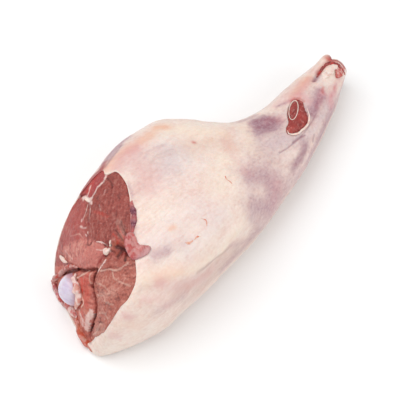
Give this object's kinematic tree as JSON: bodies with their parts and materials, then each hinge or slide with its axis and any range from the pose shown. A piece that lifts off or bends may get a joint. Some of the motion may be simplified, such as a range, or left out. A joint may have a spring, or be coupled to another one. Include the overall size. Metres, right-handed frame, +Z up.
{
  "type": "raw leg of lamb",
  "caption": "Raw leg of lamb lying on its side: a domed rump cut showing lean muscle and the ball of the thigh bone, a pale fat cover, and a shank tapering to the cut hock.",
  "frame": {"origin": "on the surface the leg lies on, under the middle of its overall box", "axes": "+X along the leg from the rump cut to the hock, +Y towards the side with the bulge of the thigh, +Z up from the surface"},
  "size_m": [0.3911, 0.1564, 0.106],
  "materials": {
    "meat_and_fat": "raw lamb: moist creamy pink fat cover with mauve patches over brownish red lean that shows in the cut",
    "cartilage": "smooth wet lavender-white joint cartilage",
    "bone": "moist pinkish white bone end with thin gristle"
  },
  "bodies": {
    "root": {"leg": "meat_and_fat", "thigh_bone": "cartilage", "shank_bone": "bone"}
  },
  "joints": []
}
